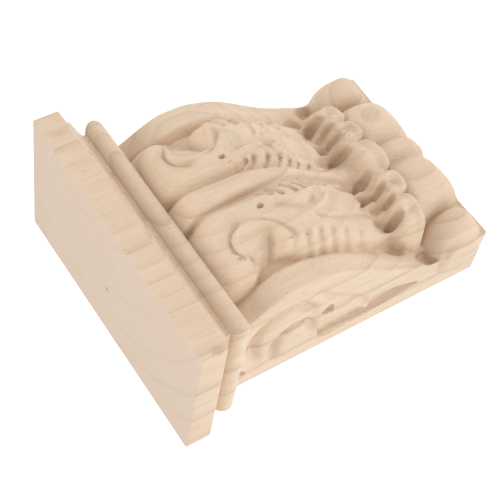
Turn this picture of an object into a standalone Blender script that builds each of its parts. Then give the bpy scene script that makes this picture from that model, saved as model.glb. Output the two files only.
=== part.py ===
"""A carved wooden corbel bracket, modelled for Blender 4.5.

The corbel is one solid piece of wood: a flat shelf slab, a small crown moulding
under it, and a body with a carved acanthus leaf that ends in a row of knuckles.
X runs across, -Y points out of the wall and +Z points up. The origin is the
centre of the flat back. Lengths are metres.

The carving is drawn on a pattern: 95 units across the body, 120.7 units down it
and 62 units out of the wall, one unit being a millimetre at the real size. It
stretches with the body when the sizes below change.
"""

import math

import bmesh
import bpy
import numpy as np

# The overall sizes.
HEIGHT = 0.150
SLAB_WIDTH = 0.120
SLAB_DEPTH = 0.062
SLAB_THICKNESS = 0.0104

# The crown moulding, from the slab down: a bevel that runs in under the slab, a
# narrow quirk and a round bead, with a short neck between the bead and the carving.
SLAB_ROUND = 0.0008
BEVEL_WIDTH = 0.0078
BEVEL_HEIGHT = 0.0056
QUIRK_HEIGHT = 0.0013
BEAD_PROJECTION = 0.0029
BEAD_HEIGHT = 0.0078
BEAD_RETURN = 0.0042
NECK_HEIGHT = 0.0034
NECK_SLOPE = 0.0012
NECK_STEP = 0.0003

# The carved body under the moulding, set in from the slab's sides and front.
BODY_SETBACK = 0.0125
CARVING_SETBACK = 0.0005
FOOT_DEPTH = 0.0252

# How fine the faceted surface is.
LEAF_COLUMNS = 44
BAND_COLUMNS = 5
EDGE_CROWDING = 0.25
SIDE_COLUMNS = 16
ROWS = 58
ARC_STEPS = 6

# The pattern's own extent, in units.
PATTERN_WIDTH = 95.0
PATTERN_DROP = 120.7
PATTERN_DEPTH = 61.5
PATTERN_FOOT = 25.2

BODY_TOP = SLAB_THICKNESS + SLAB_ROUND + BEVEL_HEIGHT + QUIRK_HEIGHT + BEAD_HEIGHT + NECK_HEIGHT
BODY_DROP = HEIGHT - BODY_TOP
BODY_WIDTH = SLAB_WIDTH - 2 * BODY_SETBACK
BODY_DEPTH = SLAB_DEPTH - CARVING_SETBACK
TOP_Z = HEIGHT / 2

# How far the raw shapes run into each other and past the back before sawing.
INTO_CROWN = NECK_HEIGHT + BEAD_HEIGHT / 5
PATTERN_START = -5.0
OVERRUN = 0.004

# Half the body's width on the pattern, and how far in the channel beside the
# leaf runs.
EDGE = PATTERN_WIDTH / 2
CHANNEL_INNER = 35.2


def clear_scene():
    for item in list(bpy.data.objects):
        bpy.data.objects.remove(item, do_unlink=True)


def along(position, stations):
    """A smooth value along a line, given (place, value) stations."""
    place = np.array([station[0] for station in stations], float)
    value = np.array([station[1] for station in stations], float)
    slope = np.gradient(value, place)
    position = np.clip(position, place[0], place[-1])
    left = np.clip(np.searchsorted(place, position) - 1, 0, len(place) - 2)
    span = place[left + 1] - place[left]
    t = (position - place[left]) / span
    start = value[left] * (1 + 2 * t) * (1 - t) ** 2 + slope[left] * span * t * (1 - t) ** 2
    end = value[left + 1] * t * t * (3 - 2 * t) + slope[left + 1] * span * t * t * (t - 1)
    return start + end


def step_between(value, low, high):
    """0 below low, 1 above high and a soft slope between them."""
    t = np.clip((value - low) / (high - low), 0.0, 1.0)
    return t * t * (3 - 2 * t)


def smooth_path(points, pieces=5):
    """A Catmull-Rom curve through the points, as a fine polyline."""
    knots = np.array([points[0], *points, points[-1]], float)
    path = []
    for index in range(1, len(knots) - 2):
        a, b, c, d = knots[index - 1:index + 3]
        for t in np.arange(pieces) / pieces:
            path.append(0.5 * (2 * b + (c - a) * t + (2 * a - 5 * b + 4 * c - d) * t ** 2
                               + (3 * b - a - 3 * c + d) * t ** 3))
    path.append(knots[-1])
    return np.array(path)


def distance_to(x, s, points):
    """Distance from each place to a smooth path, and how far along it that is."""
    path = smooth_path(points)
    best = np.full(np.shape(x), 1e9)
    progress = np.zeros(np.shape(x))
    for index in range(len(path) - 1):
        a = path[index]
        run = path[index + 1] - a
        t = ((x - a[0]) * run[0] + (s - a[1]) * run[1]) / max(float(run @ run), 1e-12)
        t = np.clip(t, 0.0, 1.0)
        gap = np.hypot(x - a[0] - t * run[0], s - a[1] - t * run[1])
        closer = gap < best
        best = np.where(closer, gap, best)
        progress = np.where(closer, (index + t) / (len(path) - 1), progress)
    return best, progress


def stroke(x, s, points, width, height):
    """A rounded ridge, or a groove where the height is negative."""
    gap, progress = distance_to(x, s, points)
    ends = np.sin(math.pi * np.clip(progress, 0.06, 0.94)) ** 0.4
    return height * ends * np.exp(-(gap / width) ** 2)


def hollow(x, s, centre, size, depth):
    """A round-bottomed pit on an ellipse."""
    q = ((x - centre[0]) / size[0]) ** 2 + ((s - centre[1]) / size[1]) ** 2
    return -depth * step_between(1 - q, 0.0, 0.9)


def soft_max(a, b, blend=0.8):
    """The larger of two surfaces, with a small fillet where they meet."""
    return 0.5 * (a + b + np.sqrt((a - b) ** 2 + blend ** 2)) - 0.25 * blend


def edge_depth(s):
    """The S-curve of the body's two side edges."""
    return along(s, [(PATTERN_START, 41.0), (0, 44.0), (10.7, 50.7), (18.7, 53.5), (24.7, 54.2), (30.7, 53.7),
                     (36.7, 52.0), (50.7, 45.3), (65.7, 35.0), (80.7, 26.3), (94.7, 20.0), (106, 23.5),
                     (PATTERN_DROP, PATTERN_FOOT)])


def leaf_depth(s):
    """The crest of the acanthus leaf along its middle, down to its curled tips."""
    return along(s, [(PATTERN_START, 53.0), (0, 57.0), (3.7, 59.4), (8.7, 60.6), (16.7, 61.0), (26.7, 61.0),
                     (36.7, 59.2), (42.7, 57.0), (48.7, 54.2), (54.7, 50.2), (60.7, 45.8), (66.7, 41.6),
                     (72.7, 37.9), (77.7, 35.4),
                     (80.7, 35.2), (83.2, 38.4), (85.7, 42.6), (88.2, 44.6), (90.7, 44.6), (93.7, 43.0),
                     (96.7, 40.8), (100.7, 37.4)])


def band_depth(x, s):
    """The flat band along each side edge, and the channel between it and the leaf."""
    rim = along(s, [(0, 40.2), (15, 38.2), (27, 38.4), (43, 39.8), (61, 41.2), (78, 44.0), (89, 46.2)])
    drop = along(s, [(0, 6.0), (15, 4.4), (31, 4.2), (49, 3.6), (63, 3.0), (79, 3.4), (89, 2.0), (97, 0.5)])
    u = np.clip((x - CHANNEL_INNER) / (rim - CHANNEL_INNER), 0.0, 1.0)
    end_hollow = hollow(x, s, (43.2, 94.9), (5.2, 7.0), 7.0)
    return edge_depth(s) - drop * (1 - u) ** 1.7 + end_hollow


def leaf_edge(s):
    """How far out from the middle the leaf reaches, with its serrations."""
    reach = along(s, [(0, 35.6), (8, 36.0), (13, 34.4), (17, 33.0), (21, 33.4), (25, 34.6), (30, 36.2),
                      (40, 35.4), (55, 34.6), (70, 33.8), (77, 32.6), (81, 32.2), (84, 35.0),
                      (90, 38.6), (95, 40.0), (100, 40.2)])
    teeth = 0.9 * np.cos(2 * math.pi * (s - 31.5) / 8.0)
    return reach + teeth * step_between(s, 27, 31) * (1 - step_between(s, 72, 78))


def stem_relief(x, s):
    """The smooth centre stem with the valleys beside it."""
    half = along(s, [(0, 6.0), (20.7, 5.0), (40.7, 3.4), (60.7, 2.1), (80, 1.4)])
    fade = 1 - step_between(s, 70, 84)
    rounding = -1.3 * np.clip(x / half, 0.0, 1.0) ** 2
    valley_depth = along(s, [(0, 4.0), (6, 2.8), (20, 2.2), (30, 2.0), (70, 1.4)])
    valley = -valley_depth * np.exp(-((x - half - 1.0) / 1.7) ** 2)
    return fade * (rounding * (x < half) + valley)


def scroll_relief(x, s):
    """The curled lobe beside the eye: a lip round a hollow that holds a ball."""
    lip_path = [(28.5, 15.5), (26.5, 11.2), (22.5, 9.6), (18.8, 12.5), (17.6, 18.5), (19.6, 23.5),
                (24.0, 27.2), (28.6, 27.6), (31.0, 23.5), (30.6, 18.5)]
    above = stroke(x, s, [(15.5, 15), (17.6, 8.0), (23, 5.4), (28, 8.0), (30.5, 14.5)], 1.7, -2.2)
    lip = stroke(x, s, lip_path, 2.1, 1.6)
    cup = hollow(x, s, (25.2, 20.0), (6.8, 8.2), 3.6)
    ball = -hollow(x, s, (22.4, 16.8), (4.6, 5.4), 2.6)
    crease = stroke(x, s, [(27.5, 14.5), (30, 16.5), (35, 17.5)], 2.0, -3.0)
    return above + lip + cup + ball + crease


def leaflet_relief(x, s):
    """The eye, the toothed edge beside the stem, and the long folds of the leaf."""
    relief = hollow(x, s, (13.5, 25.6), (3.2, 3.4), 4.2)
    relief += stroke(x, s, [(8.6, 27), (10.2, 34), (10.4, 42), (8.6, 50), (6.8, 58), (5.0, 66)], 1.3, 0.9)
    for centre in [(7.8, 30.0), (7.9, 37.2), (7.0, 44.0), (5.8, 51.0), (5.0, 57.4), (4.2, 63.4)]:
        relief += hollow(x, s, centre, (2.2, 3.0), 2.4)
    relief += stroke(x, s, [(14.2, 28.5), (16, 35), (16.8, 41), (15.5, 48)], 1.5, 0.9)
    relief += stroke(x, s, [(12.2, 29), (13.4, 36), (13.6, 43)], 1.1, -0.9)
    folds = [[(18.8, 45.5), (16.4, 50.5), (12.6, 55.2), (8.6, 59)],
             [(22.0, 56), (17.4, 61.4), (12.6, 65), (8.2, 68)],
             [(20.0, 71.5), (17.4, 75), (14.4, 79)]]
    for fold in folds:
        relief += stroke(x, s, fold, 1.7, -2.3)
    relief += stroke(x, s, [(24.4, 45), (27, 53), (27.8, 60), (26.4, 67), (25, 74), (26.4, 81)], 1.7, -2.4)
    relief += stroke(x, s, [(22.4, 45), (24.8, 53), (25.4, 60), (23.8, 67), (22.4, 73)], 1.7, 1.0)
    for tooth in np.arange(35.5, 76.0, 8.0):
        relief += stroke(x, s, [(37.0, tooth - 1.0), (33.0, tooth + 1.8), (29.0, tooth + 4.6)], 1.6, -1.9)
    return relief


def tip_relief(x, s):
    """The deep notches between the leaf's curled tips, each with a valley that leads in."""
    relief = np.zeros(np.shape(x))
    for notch, level, half, depth in [(8.1, 84.9, 2.8, 8.0), (15.6, 87.5, 2.2, 5.0), (21.8, 88.1, 2.6, 6.0),
                                      (28.0, 87.3, 3.0, 6.8)]:
        relief += hollow(x, s, (notch, level), (half, 4.4), depth)
        relief += hollow(x, s, (notch - 0.8, level - 4.6), (1.7 * half, 8.0), 3.0)
    return relief


def leaf_surface(x, s):
    """The whole leaf, from the moulding to the lower edge of its curled tips."""
    reach = leaf_edge(s)
    q = np.clip(x / reach, 0.0, 1.5)
    low = edge_depth(s) + 0.6
    shoulder = 1 - step_between(s, 14, 30)
    curled = step_between(s, 77, 84)
    roundness = 3.4 + 3.0 * shoulder + 3.0 * curled
    crest = leaf_depth(s) - 3.6 * curled * (x / 32) ** 2
    surface = low + (crest - low) * np.clip(1 - q ** roundness, 0.0, 1.0) ** 0.62
    relief = stem_relief(x, s) + scroll_relief(x, s) + leaflet_relief(x, s) + tip_relief(x, s)
    relief = relief * (1 - step_between(q, 0.90, 1.04))
    end = np.full(np.shape(x), 93.0)
    for centre, half in [(0.0, 9.6), (15.2, 6.4), (29.0, 9.4)]:
        end = np.maximum(end, 93.0 + 6.0 * np.clip(1 - ((x - centre) / half) ** 2, 0.0, 1.0) ** 0.5)
    inside = (q < 1.0) & (s < end)
    fall = 2.5 * step_between(s, end - 5.0, end) ** 2
    return np.where(inside, surface + relief - fall, 0.0)


def roll_surface(x, s):
    """The row of rounded knuckles across the foot, the end ones round like knobs."""
    crest = along(s, [(89, 17.0), (92, 24.0), (95, 32.0), (98, 36.2), (102, 38.0), (108.7, 38.4), (112.7, 37.2),
                      (116.7, 34.2), (PATTERN_DROP, PATTERN_FOOT + 4.2)])
    surface = np.full(np.shape(x), 10.0)
    for centre, half, inner_drop, outer_drop in [(0.0, 4.9, 4.3, 4.3), (17.6, 12.9, 4.3, 9.2)]:
        drop = np.where(x < centre, inner_drop, outer_drop)
        surface = soft_max(surface, crest - drop * (np.abs(x - centre) / half) ** 2.8, 1.4)
    q = (np.abs(x - 39.6) / 10.0) ** 2.4 + ((s - 110.3) / 12.6) ** 2
    knob = 16.0 + 21.6 * np.clip(1 - q, 0.0, 1.0) ** 0.5
    surface = soft_max(surface, np.where(q < 1, knob, 10.0), 1.4)
    return np.where(s > 89, surface, 0.0)


def front_depth(x, s):
    """How far the front stands out of the wall, in pattern units."""
    x = np.abs(x)
    ground = band_depth(x, s)
    surface = soft_max(ground, leaf_surface(x, s))
    surface = soft_max(surface, roll_surface(x, s))
    return np.minimum(surface, PATTERN_DEPTH)


def inside_outline(a, s, outline, soft=0.9):
    """1 inside a closed outline, 0 outside and a soft slope at its edge."""
    path = smooth_path([*outline, outline[0]], pieces=3)
    odd = np.zeros(np.shape(a), bool)
    gap = np.full(np.shape(a), 1e9)
    for (a0, s0), (a1, s1) in zip(path[:-1], path[1:]):
        crosses = (s0 > s) != (s1 > s)
        if s1 != s0:
            odd ^= crosses & (a < (a1 - a0) * (s - s0) / (s1 - s0) + a0)
        run = max((a1 - a0) ** 2 + (s1 - s0) ** 2, 1e-12)
        t = np.clip(((a - a0) * (a1 - a0) + (s - s0) * (s1 - s0)) / run, 0.0, 1.0)
        gap = np.minimum(gap, np.hypot(a - a0 - t * (a1 - a0), s - s0 - t * (s1 - s0)))
    return step_between(np.where(odd, gap, -gap), -0.1, soft)


def side_inset(a, s):
    """How deep the side carving is cut; a runs out of the wall, s down the body."""
    inset = stroke(a, s, [(10.5, 9.2), (20, 6.4), (28, 5.8), (35, 9.5), (38.6, 17), (38.6, 23.5), (34.5, 29),
                          (28, 34.5)], 2.5, 3.0)
    inset += stroke(a, s, [(6.5, 18.4), (13, 16.6), (19.5, 17.4), (24.8, 22), (25.2, 28), (21, 32.6),
                           (13, 36.2)], 2.2, 2.6)
    window = [(5.5, 38.2), (19.8, 38.4), (16.2, 48), (17, 55), (12, 62), (18.6, 64.6), (16.6, 75), (11.4, 88.4),
              (8.8, 78), (6.6, 62)]
    inset = np.maximum(inset, 3.0 * inside_outline(a, s, window, soft=1.5))
    inset = np.maximum(inset, 2.0 * inside_outline(a, s, [(5.2, 1.6), (11.2, 1.6), (6.8, 4.6)]))
    inset = np.maximum(inset, 2.0 * inside_outline(a, s, [(25.6, 36.4), (22.4, 42.6), (29.2, 41.4)]))
    inset = np.maximum(inset, stroke(a, s, [(44, 30), (38, 36), (32, 43), (26, 51), (20, 57.5), (13, 63)], 1.9, 1.6))
    q = ((a - 17.6) / 12.2) ** 2 + ((s - 108.7) / 12.2) ** 2
    knob = 1.9 * step_between(1 - q, 0.0, 0.7)
    return inset - knob


def body_ring(drop):
    """One closed loop of points round the body, at a given drop from the top."""
    s = (drop - BODY_TOP) / BODY_DROP * PATTERN_DROP
    across = BODY_WIDTH / PATTERN_WIDTH
    out = BODY_DEPTH / PATTERN_DEPTH
    foot_share = along(s, [(0, 0.0), (70, 0.0), (PATTERN_DROP, 1.0)])
    out = out * (1 - foot_share) + foot_share * FOOT_DEPTH / PATTERN_FOOT
    even = np.linspace(-1.0, 1.0, LEAF_COLUMNS + 1)
    crowded = even * (1 + EDGE_CROWDING * (1 - even ** 2))
    leaf_x = leaf_edge(s) * crowded
    band_x = np.linspace(leaf_x[-1], EDGE, BAND_COLUMNS + 1)[1:]
    front_x = np.concatenate([-band_x[::-1], leaf_x, band_x])
    front_y = front_depth(front_x, np.full(front_x.shape, s))
    reach = front_y[0] * (1 - np.arange(SIDE_COLUMNS) / SIDE_COLUMNS)
    side_x = EDGE - side_inset(reach, np.full(reach.shape, s)) * (reach < front_y[0])
    z = TOP_Z - drop
    ring = [(EDGE * across, OVERRUN, z)]
    ring += [(x * across, -a * out, z) for x, a in zip(side_x[::-1], reach[::-1])]
    ring += [(x * across, -y * out, z) for x, y in zip(front_x[::-1], front_y[::-1])][1:-1]
    ring += [(-x * across, -a * out, z) for x, a in zip(side_x, reach)]
    ring += [(-EDGE * across, OVERRUN, z)]
    return ring


def make_body():
    """The carved body, lofted through its rings from inside the crown to the foot."""
    drops = [BODY_TOP - INTO_CROWN]
    drops += list(np.linspace(BODY_TOP, HEIGHT, ROWS))
    shape = bmesh.new()
    rings = []
    for drop in drops:
        rings.append([shape.verts.new(point) for point in body_ring(drop)])
    for upper, lower in zip(rings[:-1], rings[1:]):
        for index in range(len(upper)):
            after = (index + 1) % len(upper)
            shape.faces.new((upper[index], upper[after], lower[after], lower[index]))
    shape.faces.new(rings[0][::-1])
    shape.faces.new(rings[-1])
    return finish_mesh(shape, "corbel")


def arc(centre, radii, start, end):
    """Points of an elliptic arc on the moulding's profile, angles in degrees."""
    points = []
    for index in range(ARC_STEPS + 1):
        angle = math.radians(start + (end - start) * index / ARC_STEPS)
        points.append((centre[0] - radii[0] * math.cos(angle), centre[1] - radii[1] * math.sin(angle)))
    return points


def crown_profile():
    """The slab and moulding seen from the side, as (setback, drop) points."""
    drop = SLAB_THICKNESS
    profile = [(0.0, 0.0), (0.0, drop)]
    profile += arc((SLAB_ROUND, drop), (SLAB_ROUND, SLAB_ROUND), 0, -90)[1:]
    setback = SLAB_ROUND + BEVEL_WIDTH
    drop += SLAB_ROUND + BEVEL_HEIGHT
    profile += [(setback, drop)]
    drop += QUIRK_HEIGHT + BEAD_HEIGHT / 2
    profile += arc((setback, drop), (BEAD_PROJECTION, BEAD_HEIGHT / 2), 90, 0)
    setback += BEAD_RETURN - BEAD_PROJECTION
    profile += arc((setback, drop), (BEAD_RETURN, BEAD_HEIGHT / 2), 0, -90)[1:]
    profile += [(BODY_SETBACK - NECK_STEP, drop + BEAD_HEIGHT / 2 + NECK_SLOPE)]
    return profile


def make_crown():
    """The slab and moulding: one outline carried down the profile, step by step."""
    shape = bmesh.new()
    rings = []
    for setback, drop in crown_profile():
        half = SLAB_WIDTH / 2 - setback
        front = setback - SLAB_DEPTH
        z = TOP_Z - drop
        corners = [(half, OVERRUN, z), (half, front, z), (-half, front, z), (-half, OVERRUN, z)]
        rings.append([shape.verts.new(corner) for corner in corners])
    for upper, lower in zip(rings[:-1], rings[1:]):
        for index in range(4):
            after = (index + 1) % 4
            shape.faces.new((upper[index], upper[after], lower[after], lower[index]))
    shape.faces.new(rings[0][::-1])
    shape.faces.new(rings[-1])
    crown = finish_mesh(shape, "crown_guide")
    as_guide(crown)
    return crown


def make_wall():
    """A block that stands for the wall and saws the back flat."""
    shape = bmesh.new()
    bmesh.ops.create_cube(shape, size=1.0)
    bmesh.ops.scale(shape, vec=(SLAB_WIDTH * 2, OVERRUN * 4, HEIGHT * 2), verts=shape.verts)
    bmesh.ops.translate(shape, vec=(0, OVERRUN * 2, 0), verts=shape.verts)
    wall = finish_mesh(shape, "wall_guide")
    as_guide(wall)
    return wall


def finish_mesh(shape, name):
    bmesh.ops.recalc_face_normals(shape, faces=shape.faces)
    mesh = bpy.data.meshes.new(name)
    shape.to_mesh(mesh)
    shape.free()
    item = bpy.data.objects.new(name, mesh)
    bpy.context.scene.collection.objects.link(item)
    return item


def as_guide(item):
    item.hide_render = True
    item.display_type = "WIRE"


def combine(item, other, operation):
    modifier = item.modifiers.new(operation.title(), "BOOLEAN")
    modifier.operation = operation
    modifier.solver = "EXACT"
    modifier.object = other


def bare_wood():
    material = bpy.data.materials.new("bare_wood")
    material.use_nodes = True
    shader = material.node_tree.nodes["Principled BSDF"]
    shader.inputs["Base Color"].default_value = (0.78, 0.58, 0.38, 1.0)
    shader.inputs["Roughness"].default_value = 0.62
    shader.inputs["Metallic"].default_value = 0.0
    return material


def main():
    clear_scene()
    corbel = make_body()
    combine(corbel, make_crown(), "UNION")
    combine(corbel, make_wall(), "DIFFERENCE")
    corbel.data.materials.append(bare_wood())
    corbel.data.shade_smooth()
    corbel.data.set_sharp_from_angle(angle=math.radians(50))


main()
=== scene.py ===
# %% [markdown]
# # A carved wooden corbel
#
# A corbel is a bracket that carries a shelf or a mantel. This one is a single block
# of pale hardwood: a flat slab on top, a small moulding under it, and an S-shaped
# body carved with one acanthus leaf. This script models it by its forms, one form to
# a cell, round the plain solid that the library keeps.
#
# X runs across the corbel, -Y points out of the wall, +Z points up, and the origin
# is the centre of the flat back. The carving is drawn in millimetres: x from the
# middle, t down from the top and the depth out of the wall.

import math

import bpy
import numpy as np
from mathutils import Matrix


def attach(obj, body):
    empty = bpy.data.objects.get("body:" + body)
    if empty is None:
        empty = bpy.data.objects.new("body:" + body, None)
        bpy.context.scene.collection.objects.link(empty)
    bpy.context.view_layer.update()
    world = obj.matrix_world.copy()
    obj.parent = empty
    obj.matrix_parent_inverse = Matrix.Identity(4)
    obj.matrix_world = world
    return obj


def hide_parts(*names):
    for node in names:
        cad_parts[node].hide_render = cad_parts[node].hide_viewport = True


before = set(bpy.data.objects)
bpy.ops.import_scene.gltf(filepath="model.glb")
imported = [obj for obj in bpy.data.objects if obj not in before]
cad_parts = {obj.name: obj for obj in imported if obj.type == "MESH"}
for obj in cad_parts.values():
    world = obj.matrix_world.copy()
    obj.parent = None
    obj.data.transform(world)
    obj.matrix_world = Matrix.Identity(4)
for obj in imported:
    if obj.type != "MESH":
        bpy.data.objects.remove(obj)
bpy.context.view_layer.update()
MM = 0.001
print("frame nodes:", sorted(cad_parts))

# %% [markdown]
# ## The main sizes
#
# The slab is 120 mm wide and 62 mm deep, and the whole corbel is 150 mm tall. The
# body under the moulding is narrower, 95 mm, so the slab casts its own small shade.

# %% Main sizes
HEIGHT = 150.0
SLAB_WIDTH = 120.0
SLAB_DEPTH = 62.0
SLAB_THICKNESS = 10.4
BODY_TOP = 29.3
EDGE = 47.5
BAND_INNER = 38.0
TOP = HEIGHT / 2

# %% [markdown]
# ## The slab and its moulding
#
# A joiner runs this profile with a router round three sides of the block, so the
# corners meet in mitres. Here a plane is extruded down and scaled in or out at each
# point of the profile. The plan reaches as far behind the wall as in front of it, so
# every step can be scaled about the middle, and the back half is cut off later.

# %% Slab and moulding
def arc(centre, radii, start, end, steps=10):
    """Points on an elliptic arc of the profile, as (setback, drop) pairs."""
    angles = np.radians(np.linspace(start, end, steps + 1))
    return [(centre[0] - radii[0] * math.cos(a), centre[1] - radii[1] * math.sin(a)) for a in angles]


profile = [(0.8, 0.0), (0.4, 0.1), (0.1, 0.35), (0.0, 0.8), (0.0, SLAB_THICKNESS - 0.3)]
profile += arc((1.0, SLAB_THICKNESS), (1.0, 0.8), 0, -80)[2:]
profile += [(3.2, 12.4), (3.6, 12.7), (3.9, 13.5), (4.4, 14.0), (5.6, 14.7), (7.0, 15.6), (8.2, 16.5), (8.7, 17.1)]
profile += arc((9.3, 22.0), (3.6, 4.0), 76, 0)
profile += arc((9.3, 22.0), (3.6, 4.4), 0, -80)[1:]
profile += [(10.2, 26.7), (12.2, 27.6)]

bpy.ops.object.select_all(action="DESELECT")
bpy.ops.mesh.primitive_plane_add(size=2, location=(0, 0, TOP * MM))
crown = bpy.context.object
crown.name = "crown"
half_width = SLAB_WIDTH / 2 - profile[0][0]
half_depth = SLAB_DEPTH - profile[0][0]
crown.scale = (half_width * MM, half_depth * MM, 1)
bpy.ops.object.transform_apply(location=True, rotation=False, scale=True)
bpy.ops.object.mode_set(mode="EDIT")
bpy.ops.mesh.select_all(action="SELECT")
for (before, above), (setback, drop) in zip(profile[:-1], profile[1:]):
    bpy.ops.mesh.extrude_region_move(TRANSFORM_OT_translate={"value": (0, 0, (above - drop) * MM)})
    wider = (SLAB_WIDTH / 2 - setback) / (SLAB_WIDTH / 2 - before)
    deeper = (SLAB_DEPTH - setback) / (SLAB_DEPTH - before)
    bpy.ops.transform.resize(value=(wider, deeper, 1), center_override=(0, 0, 0))
bpy.ops.mesh.select_all(action="SELECT")
bpy.ops.mesh.normals_make_consistent(inside=False)
bpy.ops.object.mode_set(mode="OBJECT")
print("profile points:", len(profile), "crown faces:", len(crown.data.polygons))

# %% [markdown]
# ## Tools for drawing the relief
#
# A carver works with a few strokes: a smooth curve run through some points, a
# rounded ridge or groove along it, an undercut fold where one leaflet lies over the
# next, and a round pit made with a gouge. Each stroke below is one function that
# gives a height for every point of the surface.

# %% Strokes
def along(place, stations):
    """A smooth value along a line, from (place, value) stations."""
    where = np.array([station[0] for station in stations], float)
    value = np.array([station[1] for station in stations], float)
    slope = np.gradient(value, where)
    place = np.clip(place, where[0], where[-1])
    left = np.clip(np.searchsorted(where, place) - 1, 0, len(where) - 2)
    span = where[left + 1] - where[left]
    u = (place - where[left]) / span
    start = value[left] * (1 + 2 * u) * (1 - u) ** 2 + slope[left] * span * u * (1 - u) ** 2
    end = value[left + 1] * u * u * (3 - 2 * u) + slope[left + 1] * span * u * u * (u - 1)
    return start + end


def step(value, low, high):
    """0 below low, 1 above high and a soft slope between them."""
    u = np.clip((value - low) / (high - low), 0.0, 1.0)
    return u * u * (3 - 2 * u)


def curve(points, pieces=6):
    """A smooth curve through the points, as a fine polyline."""
    knots = np.array([points[0], *points, points[-1]], float)
    path = []
    for index in range(1, len(knots) - 2):
        a, b, c, d = knots[index - 1:index + 3]
        for u in np.arange(pieces) / pieces:
            path.append(0.5 * (2 * b + (c - a) * u + (2 * a - 5 * b + 4 * c - d) * u ** 2
                               + (3 * b - a - 3 * c + d) * u ** 3))
    path.append(knots[-1])
    return np.array(path)


def measure(x, t, points):
    """Signed distance to a curve, right of its direction positive, and the place along it."""
    path = curve(points)
    best = np.full(np.shape(x), 1e9)
    side = np.ones(np.shape(x))
    place = np.zeros(np.shape(x))
    count = len(path) - 1
    for index in range(count):
        a = path[index]
        run = path[index + 1] - a
        length = max(float(run @ run), 1e-12)
        u = np.clip(((x - a[0]) * run[0] + (t - a[1]) * run[1]) / length, 0.0, 1.0)
        gap = np.hypot(x - a[0] - u * run[0], t - a[1] - u * run[1])
        closer = gap < best
        cross = (x - a[0]) * run[1] - (t - a[1]) * run[0]
        best = np.where(closer, gap, best)
        side = np.where(closer, np.where(cross > 0, 1.0, -1.0), side)
        place = np.where(closer, (index + u) / count, place)
    return best * side, place


def near(x, t, points, reach):
    """Which points of the surface a stroke can touch."""
    spots = np.array(points, float)
    low = spots.min(axis=0) - reach
    high = spots.max(axis=0) + reach
    return (x > low[0]) & (x < high[0]) & (t > low[1]) & (t < high[1])


def ridge(x, t, points, width, height, taper=0.14):
    """A rounded ridge, or a groove where the height is negative."""
    out = np.zeros(np.shape(x))
    hit = near(x, t, points, 3.2 * width)
    gap, place = measure(x[hit], t[hit], points)
    ends = step(place, -0.02, taper) * (1 - step(place, 1 - taper, 1.02))
    out[hit] = height * ends * np.exp(-(gap / width) ** 2)
    return out


def fold(x, t, points, depth, slope, lip=0.4, taper=0.2):
    """A leaflet lying over its neighbour: a steep lip right of the curve and a long low slope left."""
    out = np.zeros(np.shape(x))
    hit = near(x, t, points, 3 * slope)
    gap, place = measure(x[hit], t[hit], points)
    ends = step(place, -0.02, taper) * (1 - step(place, 1 - taper, 1.02))
    low = -depth * np.exp(-(np.clip(-gap, 0, None) / slope) ** 1.5)
    high = -depth * (1 - step(gap, 0.0, 0.9)) + lip * step(gap, 0.2, 1.1) * np.exp(-np.clip(gap - 1, 0, None) / 1.2)
    out[hit] = ends * np.where(gap < 0, low, high)
    return out


def pit(x, t, centre, size, depth, angle=0.0, soft=1.0):
    """A round-bottomed pit on an ellipse, turned by an angle in degrees."""
    turn = math.radians(angle)
    across = (x - centre[0]) * math.cos(turn) + (t - centre[1]) * math.sin(turn)
    down = (t - centre[1]) * math.cos(turn) - (x - centre[0]) * math.sin(turn)
    q = (across / size[0]) ** 2 + (down / size[1]) ** 2
    return -depth * step(1 - q, 0.0, soft)


def soft_max(a, b, blend=1.2):
    """The higher of two surfaces, with a small fillet where they meet."""
    share = np.clip(0.5 + 0.5 * (a - b) / blend, 0.0, 1.0)
    return b + (a - b) * share + blend * share * (1 - share)


print("stroke tools ready")

# %% [markdown]
# ## The S-shaped body and its edge bands
#
# The blank is sawn to an S-curve first. The two outer edges keep that curve. Inside
# each edge runs a shallow coved band that rises to a thin ridge, and behind the
# ridge the ground drops to the level that the leaf stands on.

# %% Body and bands
def edge_profile(t):
    return along(t, [(20, 40.0), (29.3, 44.0), (36, 48.0), (41, 51.0), (48, 53.8), (54, 54.2), (58.6, 54.0),
                     (62.3, 53.2), (66, 52.0), (72, 49.8), (78, 46.6), (84, 42.6), (91, 37.7), (97, 33.6),
                     (103, 30.0), (109, 26.8), (114, 24.5), (120, 21.5), (125, 20.0), (137, 23.5),
                     (150, 25.2)])


def ground_surface(x, t):
    rim = along(t, [(26, 40.5), (36, 39.6), (44, 38.2), (56, 38.4), (72, 39.8), (90, 41.2), (107, 44.0), (118, 46.2),
                    (150, 46.5)])
    drop = along(t, [(26, 6.0), (36, 5.0), (44, 4.4), (60, 4.2), (78, 3.6), (92, 3.0), (108, 3.4), (118, 2.0),
                     (126, 0.5), (150, 0.5)])
    u = np.clip((x - 35.2) / (rim - 35.2), 0.0, 1.0)
    band = edge_profile(t) - 0.7 * np.sin(math.pi * np.clip((x - rim) / (EDGE - rim), 0.0, 1.0)) * step(t, 40, 56)
    pocket = pit(x, t, (35.6, 110.6), (5.0, 5.6), 2.8)
    hollow = pit(x, t, (43.0, 123.4), (4.6, 7.0), 4.5)
    return band - drop * (1 - u) ** 1.7 + pocket + hollow


print("edge depth at the shoulder:", float(edge_profile(np.array([54.0]))[0]), "mm")

# %% [markdown]
# ## The leaf as one swelling form
#
# Before any vein is cut, the leaf is a single pillow. It swells out at the shoulder,
# falls back with the S-curve, and flicks forward again at its curled tips. Its outer
# edge is toothed, a little wider between the teeth the further down it runs.

# %% Leaf form
TEETH = [60.4, 66.6, 72.8, 79.4, 87.2, 96.2]


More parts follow.
